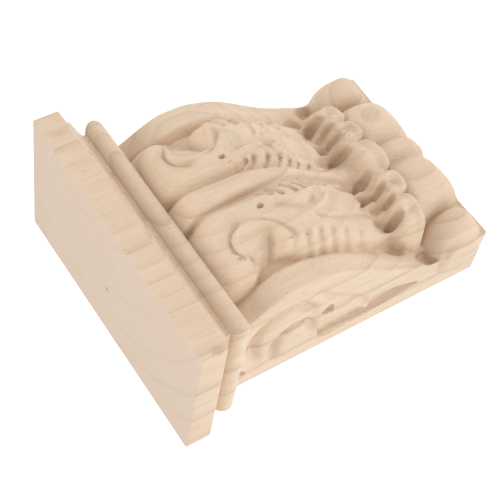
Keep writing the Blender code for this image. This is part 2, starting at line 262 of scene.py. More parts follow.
def leaf_crest(t):
    return along(t, [(24, 49.0), (26, 51.6), (28, 54.2), (30.5, 57.4), (33.5, 59.6), (38, 60.8),
                     (46, 61.4), (56, 61.4), (61, 60.7), (66, 59.3),
                     (72, 57.2), (78, 54.4), (84, 50.2), (90, 45.8), (96, 41.6), (102, 37.9), (107, 35.4),
                     (110, 35.2), (112.5, 38.4), (115, 42.6), (117.5, 44.6), (120, 44.6), (123, 43.0), (126, 40.8),
                     (130, 37.4)])


def tooth_wave(t):
    """1 at each tooth's point and -1 in the gap between two teeth."""
    places = np.array(TEETH)
    phase = np.interp(t, places, np.arange(len(places)), left=0, right=len(places) - 1)
    wave = np.cos(2 * math.pi * phase)
    return wave * step(t, TEETH[0] - 3, TEETH[0]) * (1 - step(t, TEETH[-1] + 1, TEETH[-1] + 4))


def leaf_reach(t):
    plain = along(t, [(26, 35.4), (36, 36.0), (40, 35.2), (44, 32.6), (48, 31.9), (53, 32.4), (57, 34.0),
                      (61, 34.9), (70, 34.8), (80, 34.4), (92, 33.8), (102, 33.4), (107, 32.2), (110.5, 31.8),
                      (113, 34.4), (115.5, 36.8), (120, 38.8), (124, 40.2), (130, 40.4)])
    return plain + 0.5 * tooth_wave(t)


def leaf_pillow(x, t):
    q = np.clip(x / leaf_reach(t), 0.0, 1.4)
    shoulder = 1 - step(t, 32, 44)
    curled = step(t, 106, 113)
    roundness = 3.2 + 3.4 * shoulder + 3.4 * curled
    lobe = step(t, 38, 46) * (1 - step(t, 58, 64))
    low = edge_profile(t) + 1.2 - 3.2 * lobe
    crest = leaf_crest(t) - curled * 3.6 * (x / 32) ** 2
    swell = (crest - low) * np.clip(1 - q ** roundness, 0.0, 1.0) ** 0.55
    return low + swell - 7.0 * step(q, 0.985, 1.06), q


print("leaf reach at the first tooth:", round(float(leaf_reach(np.array([TEETH[0]]))[0]), 1), "mm")

# %% [markdown]
# ## The stem
#
# A smooth round stem runs down the middle and narrows. A V-shaped valley cuts in on
# each side, deepest where the leaf meets the bead.

# %% Stem
def stem(x, t):
    half = along(t, [(26, 6.6), (36, 5.9), (48, 5.1), (57, 4.8), (64, 4.2), (75, 3.3), (90, 2.6), (100, 2.8), (108, 4.4)])
    fade = 1 - step(t, 102, 110)
    valley = along(t, [(26, 5.5), (30, 4.6), (33, 3.0), (45, 2.5), (53, 3.2), (60, 2.4), (90, 2.0), (110, 1.6)])
    round_top = -1.1 * np.clip(x / half, 0.0, 1.0) ** 2.2
    gap = x - half
    wall = np.where(gap < 0, np.exp(-(gap / 0.8) ** 2), np.exp(-(np.clip(gap, 0, None) / 2.2) ** 1.6))
    return fade * (round_top * (x < half) - (x >= half) * 1.1 * np.exp(-(gap / 2.6) ** 2) - valley * wall)


print("stem half-width at the bead:", 6.4, "mm")

# %% [markdown]
# ## The scrolled lobes
#
# At the top the leaf curls over on each side like the lip of a shell. A groove goes
# over the curl, a rounded lip runs right round it, and inside the lip a soft ball
# slopes down into a deep bowl at the outer side.

# %% Scrolls
SCROLL_LIP = [(27.2, 40.2), (24.2, 38.8), (21.2, 39.2), (18.8, 41.2), (18.2, 44.2), (18.7, 48.2), (20.4, 51.9),
              (23.0, 54.9), (26.8, 56.9), (30.1, 57.0), (32.2, 54.8), (33.0, 52.0)]
BOWL_CREASE = [(19.8, 54.8), (22.9, 53.2), (26.1, 51.3), (28.9, 49.5), (31.6, 48.2), (35.0, 47.0)]


def scroll(x, t):
    form = np.zeros(np.shape(x))
    inside_lip = step(1 - ((x - 25.8) / 7.9) ** 2 - ((t - 48.2) / 9.4) ** 2, 0.0, 0.45)
    hit = inside_lip > 0
    gap, place = measure(x[hit], t[hit], BOWL_CREASE)
    wall = np.where(gap < 0, np.exp(-(np.abs(gap) / 1.8) ** 1.4), np.exp(-(np.abs(gap) / 5.0) ** 1.5))
    form[hit] = -inside_lip[hit] * (0.9 + 4.6 * wall)
    form += ridge(x, t, SCROLL_LIP, 1.3, 1.5, taper=0.1)
    form += ridge(x, t, [(26.6, 37.0), (22.9, 35.9), (18.9, 36.6), (16.3, 39.6), (15.4, 43.6), (16.6, 48.6)], 2.6, -1.2)
    form += ridge(x, t, [(31.5, 40.6), (28.6, 38.6), (25.0, 36.9), (21.6, 37.1), (19.2, 38.5), (17.5, 40.8),
                         (16.5, 43.4), (16.6, 46.0)], 1.0, -2.0, taper=0.22)
    form += ridge(x, t, [(20.0, 43.6), (20.6, 41.2), (22.6, 40.2), (25.0, 40.1), (27.4, 40.9), (28.9, 42.6)], 0.8, -1.1)
    form += ridge(x, t, [(27.6, 42.4), (29.6, 41.6), (32.0, 40.4), (35.4, 39.6)], 1.2, -1.8)
    form += ridge(x, t, [(17.3, 45.8), (17.5, 49.7), (17.9, 52.9), (19.2, 55.4), (21.2, 57.4), (23.4, 59.1),
                         (26.0, 60.3), (29.0, 60.8), (31.5, 60.8)], 1.2, -1.6, taper=0.3)
    form += ridge(x, t, [(16.3, 47.0), (16.5, 50.6), (17.0, 53.8), (18.6, 56.4), (20.9, 58.6), (23.0, 60.9),
                         (25.6, 62.8)], 0.9, 0.7, taper=0.2)
    return form


print("scroll lip points:", len(SCROLL_LIP))

# %% [markdown]
# ## The eye, the leaflets and their folds
#
# A small drilled eye marks where the lobes part. From it long leaflets sweep down
# and in towards the stem, each lying over the next with a steep lip. Beside the stem
# a row of slanted cuts makes a comb, and along the outer edge each tooth has its own
# short fold.

# %% Leaflets
COMB = [((6.3, 56.6), (7.2, 60.6), (9.4, 64.0)), ((5.4, 62.4), (7.6, 66.0), (10.8, 68.2)),
        ((4.8, 69.4), (7.6, 73.0), (10.4, 75.0)), ((4.3, 75.8), (6.8, 78.6), (9.2, 80.6)),
        ((3.8, 80.9), (5.8, 83.2), (7.9, 84.9)), ((3.4, 85.6), (5.2, 87.6), (6.8, 89.0)),
        ((3.0, 91.0), (4.6, 93.0), (6.0, 94.4))]


def leaflets(x, t):
    form = pit(x, t, (13.2, 55.1), (1.2, 1.8), 2.8, soft=0.9)
    form += ridge(x, t, [(9.9, 56.0), (9.8, 53.0), (11.4, 50.8), (14.2, 50.4), (16.2, 52.6)], 0.9, 0.5)
    form += ridge(x, t, [(7.8, 53.0), (9.4, 56.7), (10.9, 60.2), (12.4, 63.6), (13.5, 67.0), (13.8, 70.2),
                         (13.2, 73.2), (12.2, 75.6), (10.8, 79.0), (9.2, 82.8), (7.8, 86.4), (6.4, 91.0)], 0.85, 1.5)
    comb_area = step(x, 3.6, 5.2) * (1 - step(x, 9.5, 13.0)) * step(t, 54, 60) * (1 - step(t, 90, 98))
    form -= 0.9 * comb_area
    for index, cut_line in enumerate(COMB):
        shrink = 1 - 0.06 * index
        form += ridge(x, t, list(cut_line), 1.1 * shrink, -2.4 * shrink, taper=0.1)
    form += fold(x, t, [(8.4, 85.8), (11.2, 82.6), (13.6, 79.8), (15.8, 77.0), (17.3, 74.0), (17.4, 71.0),
                        (16.4, 68.0), (15.0, 64.5), (14.0, 60.5), (14.0, 57.2)], 1.7, 3.2, lip=0.3, taper=0.2)
    form += pit(x, t, (13.6, 78.4), (3.2, 4.8), 1.3, angle=42)
    form += ridge(x, t, [(19.6, 74.6), (18.9, 78.2), (17.3, 82.6), (14.6, 86.0), (11.2, 89.3), (8.0, 92.4)], 0.9, 1.1,
                  taper=0.35)
    form += fold(x, t, [(6.2, 97.4), (8.2, 95.2), (11.3, 92.2), (14.3, 89.2), (17.0, 86.4), (19.2, 83.0),
                        (20.4, 79.4), (20.6, 76.4)], 1.6, 2.6, lip=0.2, taper=0.3)
    form += fold(x, t, [(26.4, 113.4), (23.6, 109.6), (21.6, 104.6), (21.7, 99.0), (22.5, 94.0), (23.0, 88.8),
                        (23.3, 84.2), (23.4, 80.2), (22.5, 77.0), (20.9, 74.4)], 1.7, 2.4, lip=0.4, taper=0.12)
    form += fold(x, t, [(15.2, 115.0), (14.2, 111.0), (15.4, 107.6), (17.8, 104.8), (20.2, 102.0)], 2.4, 2.6, lip=0.3)
    form += pit(x, t, (13.8, 108.4), (2.2, 3.0), 3.0)
    form += ridge(x, t, [(14.4, 105.4), (11.0, 107.0), (7.6, 109.8)], 1.3, -1.6, taper=0.3)
    form += ridge(x, t, [(4.4, 97.4), (6.8, 99.8), (7.8, 103.6), (7.8, 108.4), (8.0, 112.4)], 1.9, -3.0, taper=0.3)
    form += ridge(x, t, [(22.6, 106.0), (25.0, 110.0), (27.4, 113.6), (28.0, 117.0)], 2.2, -2.4, taper=0.3)
    form += ridge(x, t, [(18.2, 108.6), (20.0, 112.0), (21.4, 116.0)], 1.6, -2.0, taper=0.3)
    for turn in (1.0, 2.2, 3.4):
        ring = [(18.6 + turn * math.cos(a), 62.6 + 1.6 * turn * math.sin(a)) for a in np.linspace(0.4, 5.6, 12)]
        form += ridge(x, t, ring, 0.42, -0.16)
    return form


def outer_teeth(x, t):
    form = np.zeros(np.shape(x))
    for tooth, after in zip(TEETH[:-1], TEETH[1:]):
        gap = 0.5 * (tooth + after)
        form += ridge(x, t, [(38.0, gap - 0.8), (34.0, gap + 0.2), (31.0, gap + 1.2), (28.4, gap + 3.2)], 1.2, -0.9,
                      taper=0.25)
        form += pit(x, t, (28.8, gap + 2.6), (1.5, 2.4), 0.6, angle=-35)
    for tooth in TEETH:
        form += ridge(x, t, [(35.0, tooth), (31.0, tooth + 1.0), (27.2, tooth + 3.6)], 1.5, 0.5, taper=0.3)
    return form


print("comb cuts:", len(COMB), "outer teeth:", len(TEETH))

# %% [markdown]
# ## The curled tips
#
# At the foot of the S the leaf's tips flick forward over the knuckles. Deep
# teardrop notches part them, and a soft petal edge hangs under each one.

# %% Tips
NOTCHES = [(7.9, 112.6, 3.1, 4.6, 6.0), (15.2, 115.2, 2.2, 4.0, 4.2), (21.4, 116.2, 2.0, 3.6, 4.0),
           (28.0, 114.8, 3.0, 4.8, 5.2)]
PETALS = [(0.0, 9.6, 129.4), (15.2, 6.4, 128.0), (29.0, 9.4, 127.4)]


def tips(x, t):
    form = np.zeros(np.shape(x))
    for middle, level, half, tall, depth in NOTCHES:
        form += pit(x, t, (middle, level), (half, tall), depth, angle=24, soft=1.0)
        form += pit(x, t, (middle - 1.4, level - 5.0), (1.5 * half, 7.0), 2.6, angle=20, soft=1.0)
    for middle, half in [(0.0, 6.4), (12.0, 3.2), (18.6, 2.6), (24.8, 2.8), (32.2, 4.0)]:
        rib = np.clip(1 - (np.abs(x - middle) / half) ** 1.4, 0.0, 1.0)
        form += 2.2 * (rib - 0.5) * step(t, 108, 116) * (1 - step(t, 121, 127))
    return form


def petal_end(x):
    end = np.full(np.shape(x), 121.0)
    for centre, half, lower in PETALS:
        bulge = np.clip(1 - ((x - centre) / half) ** 2, 0.0, 1.0) ** 0.5
        end = np.maximum(end, 121.0 + (lower - 121.0) * bulge)
    return end


print("notches:", len(NOTCHES), "petals on one half and the middle:", len(PETALS))

# %% [markdown]
# ## The knuckles at the foot
#
# Under the petals a thick roll crosses the foot. It is cut into a small middle
# knuckle, two wide ones and two at the ends that bulge past the body's sides.

# %% Knuckles
KNUCKLES = [(0.0, 4.9, 4.3, 4.3), (17.6, 12.9, 4.3, 9.2)]


def knuckles(x, t):
    crest = along(t, [(118, 17.0), (121, 24.0), (124, 32.0), (127, 36.2), (131, 38.0), (138, 38.4), (142, 37.2),
                      (146, 34.2), (150, 29.4)])
    surface = np.full(np.shape(x), 10.0)
    for centre, half, inner_drop, outer_drop in KNUCKLES:
        q = np.abs(x - centre) / half
        drop = np.where(x < centre, inner_drop, outer_drop)
        surface = soft_max(surface, crest - drop * q ** 2.8, 2.0)
    half = np.where(t < 139, 14.0, 11.6)
    q = np.clip((np.abs(x - 40.0) / 9.6), 0.0, 1.0) ** 3.2 + (np.abs(t - 139) / half) ** 2.0
    knob = 16.0 + 17.6 * np.clip(1 - q, 0.0, 1.0) ** 0.55
    surface = soft_max(surface, np.where(q < 1, knob, 10.0), 2.0)
    return np.where(t > 118, surface, 0.0)


print("knuckles across the foot:", 2 * len(KNUCKLES) + 1)

# %% [markdown]
# ## The whole front
#
# The forms are laid over each other, the highest one winning, as a carver leaves
# the wood that stands proudest.

# %% Front surface
def front_surface(x, t):
    x = np.abs(x)
    pillow, q = leaf_pillow(x, t)
    carving = stem(x, t) + scroll(x, t) + leaflets(x, t) + outer_teeth(x, t) + tips(x, t)
    carving *= 1 - step(q, 0.93, 1.05)
    end = petal_end(x)
    curl_under = 2.2 * step(t, end - 3.5, end + 0.5) ** 2
    leaf = np.where((q < 1.07) & (t < end), pillow + carving - curl_under, 0.0)
    surface = soft_max(ground_surface(x, t), leaf, 2.2)
    surface = soft_max(surface, knuckles(x, t), 1.4)
    limit = SLAB_DEPTH - 0.2
    return 0.5 * (surface + limit - np.sqrt((surface - limit) ** 2 + 0.9 ** 2))


middle_depth = front_surface(np.array([0.0]), np.array([55.0]))
print("front at the middle of the shoulder:", round(float(middle_depth[0]), 1), "mm")

# %% [markdown]
# ## The sides
#
# Each side has a round volute near the top, made by two curved grooves, and under it
# a long sunk window with a leaf's points standing in it. A shallow fold follows the
# front edge. Here a is the distance out of the wall.

# %% Side carving
WINDOW = [(5.5, 67.5), (19.8, 67.7), (16.2, 77.3), (17.0, 84.3), (12.0, 91.3), (18.6, 93.9), (16.6, 104.3),
          (11.2, 118.2), (8.8, 107.3), (6.6, 91.3)]


def inside(a, t, outline, soft=0.9):
    """1 inside a closed outline, 0 outside and a soft slope at its edge."""
    path = curve([*outline, outline[0]], pieces=4)
    odd = np.zeros(np.shape(a), bool)
    gap = np.full(np.shape(a), 1e9)
    for (a0, t0), (a1, t1) in zip(path[:-1], path[1:]):
        crosses = (t0 > t) != (t1 > t)
        if t1 != t0:
            odd ^= crosses & (a < (a1 - a0) * (t - t0) / (t1 - t0) + a0)
        run = max((a1 - a0) ** 2 + (t1 - t0) ** 2, 1e-12)
        u = np.clip(((a - a0) * (a1 - a0) + (t - t0) * (t1 - t0)) / run, 0.0, 1.0)
        gap = np.minimum(gap, np.hypot(a - a0 - u * (a1 - a0), t - t0 - u * (t1 - t0)))
    return step(np.where(odd, gap, -gap), -0.1, soft)


def side_surface(a, t):
    """How deep the side is cut, negative where it bulges."""
    cut = -ridge(a, t, [(10.5, 38.5), (20, 35.7), (28, 35.1), (35, 38.8), (38.8, 46.3), (38.6, 52.8), (34.5, 58.3),
                        (28, 63.8)], 2.5, -3.6)
    cut -= ridge(a, t, [(6.5, 47.7), (13, 45.9), (19.5, 46.7), (24.8, 51.3), (25.2, 57.3), (21, 61.9), (13, 65.5)],
                 2.1, -3.4)
    cut = np.maximum(cut, 3.2 * inside(a, t, WINDOW, soft=1.0))
    cut = np.maximum(cut, 1.6 * inside(a, t, [(5.2, 30.9), (11.2, 30.9), (6.8, 33.9)]))
    cut = np.maximum(cut, 2.6 * inside(a, t, [(25.6, 65.7), (22.4, 71.9), (29.2, 70.7)], 0.6))
    cut = np.maximum(cut, -ridge(a, t, [(44, 59.3), (38, 65.3), (32, 72.3), (26, 80.3), (20, 86.8), (13, 92.3)],
                                 1.8, -1.5))
    q = ((a - 17.6) / 12.2) ** 2 + ((t - 138.0) / 12.2) ** 2
    return cut - 1.9 * step(1 - q, 0.0, 0.7)


print("window points:", len(WINDOW))

# %% [markdown]
# ## Carving the blank
#
# The blank is a flat grid, bent in three: the columns at each end become the sides
# and the middle ones the front. Every point is then moved to the carved depth, which
# is what a carver's tools or a carving machine do to the block. The back, the foot
# and the part hidden in the crown are filled in with flat faces.

# %% Carved body
SIDE_COLUMNS = 62
BAND_COLUMNS = 15
LEAF_COLUMNS = 160
BEHIND_WALL = 4.0
INTO_CROWN = 5.0

side_share = np.arange(SIDE_COLUMNS) / SIDE_COLUMNS
band_x = np.linspace(-EDGE, -BAND_INNER, BAND_COLUMNS, endpoint=False)
leaf_x = np.linspace(-BAND_INNER, BAND_INNER, LEAF_COLUMNS + 1)
front_x = np.concatenate([band_x, leaf_x, -band_x[::-1]])
row_t = [BODY_TOP - INTO_CROWN]
row_t += list(np.arange(BODY_TOP - 4, 104, 0.56)) + list(np.arange(104, 131, 0.40)) + list(np.arange(131, 149.6, 0.6))
row_t += [HEIGHT]
row_t = np.array(row_t)
columns = len(front_x) + 2 * SIDE_COLUMNS
rows = len(row_t)

bpy.ops.object.select_all(action="DESELECT")
bpy.ops.mesh.primitive_grid_add(x_subdivisions=columns - 1, y_subdivisions=rows - 1, size=1)
body = bpy.context.object
body.name = "carved_body"

front_grid, t_front = np.meshgrid(front_x, row_t)
depth = front_surface(front_grid, t_front)
share_grid, t_side = np.meshgrid(side_share, row_t)
reach = share_grid * depth[:, :1]
side_cut = side_surface(reach, t_side)

place = np.zeros((rows, columns, 3))
place[:, :SIDE_COLUMNS, 0] = -EDGE + side_cut
place[:, :SIDE_COLUMNS, 1] = -reach
place[:, SIDE_COLUMNS:-SIDE_COLUMNS, 0] = front_grid
place[:, SIDE_COLUMNS:-SIDE_COLUMNS, 1] = -depth
place[:, -SIDE_COLUMNS:, 0] = (EDGE - side_cut)[:, ::-1]
place[:, -SIDE_COLUMNS:, 1] = -reach[:, ::-1]
place[:, 0, 1] = BEHIND_WALL
place[:, -1, 1] = BEHIND_WALL
place[:, :, 2] = TOP - row_t[:, None]
for corner in (SIDE_COLUMNS, columns - 1 - SIDE_COLUMNS):
    for again in range(3):
        span = slice(corner - 2, corner + 3)
        place[:, span, :2] = (place[:, corner - 3:corner + 2, :2] + 2 * place[:, span, :2]
                              + place[:, corner - 1:corner + 4, :2]) / 4
body.data.vertices.foreach_set("co", (place * MM).ravel())
body.data.update()
print("grid:", rows, "rows by", columns, "columns")

# %% Close the body
def fill(mask):
    """Selects the marked vertices of the body and fills them with one flat face."""
    bpy.ops.object.mode_set(mode="OBJECT")
    body.data.vertices.foreach_set("select", mask.ravel())
    bpy.ops.object.mode_set(mode="EDIT")
    bpy.ops.mesh.edge_face_add()


bpy.ops.object.mode_set(mode="EDIT")
bpy.ops.mesh.select_mode(type="VERT")
bpy.ops.mesh.select_all(action="DESELECT")
for row, column in ((0, None), (rows - 1, None), (None, (0, columns - 1))):
    marked = np.zeros((rows, columns), bool)
    if column is None:
        marked[row] = True
    else:
        marked[:, list(column)] = True
    bpy.ops.mesh.select_all(action="DESELECT")
    fill(marked)
bpy.ops.mesh.select_all(action="SELECT")
bpy.ops.mesh.normals_make_consistent(inside=False)
bpy.ops.object.mode_set(mode="OBJECT")
print("body faces:", len(body.data.polygons))

# %% [markdown]
# ## One block
#
# The crown and the body are one piece of wood, so they are joined into one closed
# skin, and the wall's plane cuts the back flat.

# %% Join and saw the back
corbel = crown
corbel.name = "corbel_carving"
bpy.ops.object.select_all(action="DESELECT")
corbel.select_set(True)
bpy.context.view_layer.objects.active = corbel
join = corbel.modifiers.new("join", "BOOLEAN")
join.operation = "UNION"
join.solver = "MANIFOLD"
join.object = body
bpy.ops.object.modifier_apply(modifier=join.name)
bpy.data.objects.remove(body, do_unlink=True)
bpy.ops.object.mode_set(mode="EDIT")
bpy.ops.mesh.select_all(action="SELECT")
bpy.ops.mesh.bisect(plane_co=(0, 0, 0), plane_no=(0, 1, 0), use_fill=True, clear_outer=True, threshold=1e-7)
bpy.ops.mesh.select_all(action="SELECT")
bpy.ops.mesh.normals_make_consistent(inside=False)
bpy.ops.object.mode_set(mode="OBJECT")
bpy.ops.object.shade_smooth_by_angle(angle=math.radians(42))
triangles = sum(len(face.vertices) - 2 for face in corbel.data.polygons)
print("corbel triangles:", triangles)

# %% [markdown]
# ## The wood
#
# The wood is pale, unfinished and close-grained, and its grain runs down the height.
# Growth rings are shells round the heart of the tree, which lay behind and beside the
# block, so one ring pattern gives arcs on the sawn top and long streaks on the front.
# Fibres and pores are much longer along the grain than across it. Each effect is a
# small node group with its own inputs, so it can be used again on another part.

# %% Node tools
def new_group(name, inputs, outputs):
    """A shader node group with named sockets, and its input and output nodes."""
    tree = bpy.data.node_groups.new(name, "ShaderNodeTree")
    for label, kind, value in inputs:
        socket = tree.interface.new_socket(label, in_out="INPUT", socket_type=kind)
        if value is not None:
            socket.default_value = value
    for label, kind in outputs:
        tree.interface.new_socket(label, in_out="OUTPUT", socket_type=kind)
    return tree, tree.nodes.new("NodeGroupInput"), tree.nodes.new("NodeGroupOutput")


def feed(tree, socket, value):
    """Links a socket to another one, or sets it where the value is a plain one."""
    if isinstance(value, bpy.types.NodeSocket):
        tree.links.new(value, socket)
    else:
        socket.default_value = value


def math_node(tree, operation, *values):
    node = tree.nodes.new("ShaderNodeMath")
    node.operation = operation
    for index, value in enumerate(values):
        feed(tree, node.inputs[index], value)
    return node.outputs[0]


def vector_node(tree, operation, first, second, result=0):
    node = tree.nodes.new("ShaderNodeVectorMath")
    node.operation = operation
    feed(tree, node.inputs[0], first)
    feed(tree, node.inputs[1], second)
    return node.outputs[result]


def noise(tree, place, scale, detail=2.0, roughness=0.5):
    node = tree.nodes.new("ShaderNodeTexNoise")
    feed(tree, node.inputs["Vector"], place)
    feed(tree, node.inputs["Scale"], scale)
    feed(tree, node.inputs["Detail"], detail)
    feed(tree, node.inputs["Roughness"], roughness)
    return node.outputs["Fac"]


def remap(tree, value, low, high, to_low=0.0, to_high=1.0):
    node = tree.nodes.new("ShaderNodeMapRange")
    node.interpolation_type = "SMOOTHSTEP"
    for label, number in (("Value", value), ("From Min", low), ("From Max", high), ("To Min", to_low), ("To Max", to_high)):
        feed(tree, node.inputs[label], number)
    return node.outputs["Result"]


def mix_colour(tree, share, first, second, blend="MIX"):
    node = tree.nodes.new("ShaderNodeMix")
    node.data_type = "RGBA"
    node.blend_type = blend
    feed(tree, node.inputs["Factor"], share)
    feed(tree, node.inputs["A"], first)
    feed(tree, node.inputs["B"], second)
    return node.outputs["Result"]


print("node tools ready")

# %% [markdown]
# ### Growth rings
#
# The distance from the heart, pushed about by a slow noise, is cut into rings. In
# each ring the colour deepens slowly and then falls off at once, as the dense late
# wood of one year meets the next spring's growth. Some years show more than others.

# %% Growth rings
rings, ring_in, ring_out = new_group(
    "Growth rings",
    [("Place mm", "NodeSocketVector", None), ("Spacing mm", "NodeSocketFloat", 6.0), ("Waviness mm", "NodeSocketFloat", 5.0)],
    [("Late wood", "NodeSocketFloat"), ("Slow tint", "NodeSocketFloat")])
heart = vector_node(rings, "SUBTRACT", ring_in.outputs["Place mm"], (18.0, -90.0, 0.0))
flat = vector_node(rings, "MULTIPLY", heart, (1.0, 1.0, 0.0))
distance = vector_node(rings, "LENGTH", flat, (0.0, 0.0, 0.0), result=1)
slow = vector_node(rings, "MULTIPLY", ring_in.outputs["Place mm"], (1.0, 1.0, 0.35))
push = math_node(rings, "MULTIPLY", noise(rings, slow, 0.022, 3.0), ring_in.outputs["Waviness mm"])
turns = math_node(rings, "DIVIDE", math_node(rings, "ADD", distance, push), ring_in.outputs["Spacing mm"])
phase = math_node(rings, "FRACT", turns)
year = math_node(rings, "FLOOR", turns)
chance = rings.nodes.new("ShaderNodeTexWhiteNoise")
chance.noise_dimensions = "1D"
rings.links.new(year, chance.inputs["W"])
rise = math_node(rings, "POWER", phase, 3.0)
drop_off = remap(rings, phase, 0.92, 1.0, 1.0, 0.0)
strength = math_node(rings, "ADD", math_node(rings, "MULTIPLY", math_node(rings, "POWER", chance.outputs["Value"], 2.0), 0.95), 0.08)
late = math_node(rings, "MULTIPLY", math_node(rings, "MULTIPLY", rise, drop_off), strength)
rings.links.new(late, ring_out.inputs["Late wood"])
rings.links.new(noise(rings, slow, 0.035, 2.0), ring_out.inputs["Slow tint"])
print("growth ring nodes:", len(rings.nodes))

# %% [markdown]
# ### Fibres and pores
#
# Fine fibres streak the long grain. The pores are short dark dashes, thin across the
# grain and long down it, and sparse in this close-grained wood.

# %% Fibres and pores
fibres, fibre_in, fibre_out = new_group(
    "Fibres and pores",
    [("Place mm", "NodeSocketVector", None), ("Fibre scale", "NodeSocketFloat", 1.3), ("Pore amount", "NodeSocketFloat", 0.5)],
    [("Streak", "NodeSocketFloat"), ("Pores", "NodeSocketFloat"), ("Height", "NodeSocketFloat")])
stretched = vector_node(fibres, "MULTIPLY", fibre_in.outputs["Place mm"], (1.0, 1.0, 0.045))
streak = noise(fibres, stretched, fibre_in.outputs["Fibre scale"], 4.0, 0.6)
dashes = vector_node(fibres, "MULTIPLY", fibre_in.outputs["Place mm"], (1.6, 1.6, 0.28))
cell = fibres.nodes.new("ShaderNodeTexVoronoi")
cell.inputs["Scale"].default_value = 0.75
fibres.links.new(dashes, cell.inputs["Vector"])
dash = remap(fibres, cell.outputs["Distance"], 0.10, 0.24, 1.0, 0.0)
patchy = remap(fibres, noise(fibres, fibre_in.outputs["Place mm"], 0.09, 2.0), 0.46, 0.62)
keep = math_node(fibres, "GREATER_THAN", fibre_in.outputs["Pore amount"],
                 math_node(fibres, "FRACT", math_node(fibres, "MULTIPLY", vector_node(
                     fibres, "DOT_PRODUCT", cell.outputs["Color"], (1.0, 1.7, 2.3), result=1), 7.0)))
pores = math_node(fibres, "MULTIPLY", math_node(fibres, "MULTIPLY", dash, keep), patchy)
height = math_node(fibres, "SUBTRACT", math_node(fibres, "MULTIPLY", streak, 0.4), pores)
fibres.links.new(streak, fibre_out.inputs["Streak"])
fibres.links.new(pores, fibre_out.inputs["Pores"])
fibres.links.new(height, fibre_out.inputs["Height"])
print("fibre nodes:", len(fibres.nodes))

# %% [markdown]
# ### Marks in this block
#
# The blank is glued up from strips, so fine seams cross it and each strip has its
# own tone. A spot marks one place of the wood: a pin knot, a stained corner, a check.

# %% Seams and spots
seams, seam_in, seam_out = new_group(
    "Glued strips",
    [("Place mm", "NodeSocketVector", None), ("Strip mm", "NodeSocketFloat", 43.0), ("Offset mm", "NodeSocketFloat", 33.5)],
    [("Seam", "NodeSocketFloat"), ("Strip tone", "NodeSocketFloat")])
parts = seams.nodes.new("ShaderNodeSeparateXYZ")
seams.links.new(seam_in.outputs["Place mm"], parts.inputs["Vector"])
sway = math_node(seams, "MULTIPLY", noise(seams, seam_in.outputs["Place mm"], 0.05, 1.0), 0.8)
shifted = math_node(seams, "ADD", math_node(seams, "ADD", parts.outputs["X"], seam_in.outputs["Offset mm"]), sway)
strip = math_node(seams, "DIVIDE", shifted, seam_in.outputs["Strip mm"])
to_seam = math_node(seams, "MULTIPLY", math_node(seams, "PINGPONG", strip, 0.5), seam_in.outputs["Strip mm"])
tone = seams.nodes.new("ShaderNodeTexWhiteNoise")
tone.noise_dimensions = "1D"
seams.links.new(math_node(seams, "FLOOR", strip), tone.inputs["W"])
seams.links.new(remap(seams, to_seam, 0.1, 0.5, 1.0, 0.0), seam_out.inputs["Seam"])
seams.links.new(tone.outputs["Value"], seam_out.inputs["Strip tone"])

spot, spot_in, spot_out = new_group(
    "Spot",
    [("Place mm", "NodeSocketVector", None), ("Centre mm", "NodeSocketVector", (0.0, 0.0, 0.0)),
     ("Size mm", "NodeSocketVector", (1.0, 1.0, 1.0)), ("Raggedness", "NodeSocketFloat", 0.4)],
    [("Mask", "NodeSocketFloat")])
away = vector_node(spot, "DIVIDE", vector_node(spot, "SUBTRACT", spot_in.outputs["Place mm"], spot_in.outputs["Centre mm"]),
                   spot_in.outputs["Size mm"])
reach_out = vector_node(spot, "LENGTH", away, (0.0, 0.0, 0.0), result=1)
ragged = math_node(spot, "MULTIPLY", noise(spot, spot_in.outputs["Place mm"], 0.6, 3.0), spot_in.outputs["Raggedness"])
spot.links.new(remap(spot, math_node(spot, "ADD", reach_out, ragged), 0.6, 1.2, 1.0, 0.0), spot_out.inputs["Mask"])
print("mark groups:", seams.name, "and", spot.name)

# %% [markdown]
# ### End grain
#
# Where a saw has cut across the fibres, on the top and the foot, one looks into
# their open ends. These faces are a little greyer than the long grain.

# %% End grain
end_grain, end_in, end_out = new_group(
    "End grain", [("Normal", "NodeSocketVector", None)], [("End grain", "NodeSocketFloat")])
facing = end_grain.nodes.new("ShaderNodeSeparateXYZ")
end_grain.links.new(end_in.outputs["Normal"], facing.inputs["Vector"])
upright = math_node(end_grain, "ABSOLUTE", facing.outputs["Z"])
end_grain.links.new(remap(end_grain, upright, 0.75, 0.97), end_out.inputs["End grain"])
print("end grain nodes:", len(end_grain.nodes))

# %% [markdown]
# ### The bare wood itself
#
# Pale cream wood, a shade browner in the late wood and the strips, with the marks
# laid over it. It is sanded but not sealed, so it stays matt.

# %% Wood
wood = bpy.data.materials.new("bare_wood_look")
wood.use_nodes = True
tree = wood.node_tree
shader = tree.nodes["Principled BSDF"]
shader.inputs["Roughness"].default_value = 0.62
shader.inputs["Specular IOR Level"].default_value = 0.35
coordinates = tree.nodes.new("ShaderNodeTexCoord")
in_mm = vector_node(tree, "MULTIPLY", coordinates.outputs["Object"], (1000.0, 1000.0, 1000.0))


def use_group(group, **values):
    """One use of a node group, with the place on the wood in millimetres."""
    node = tree.nodes.new("ShaderNodeGroup")
    node.node_tree = group
    tree.links.new(in_mm, node.inputs["Place mm"])
    for label, value in values.items():
        node.inputs[label.replace("_", " ")].default_value = value
    return node


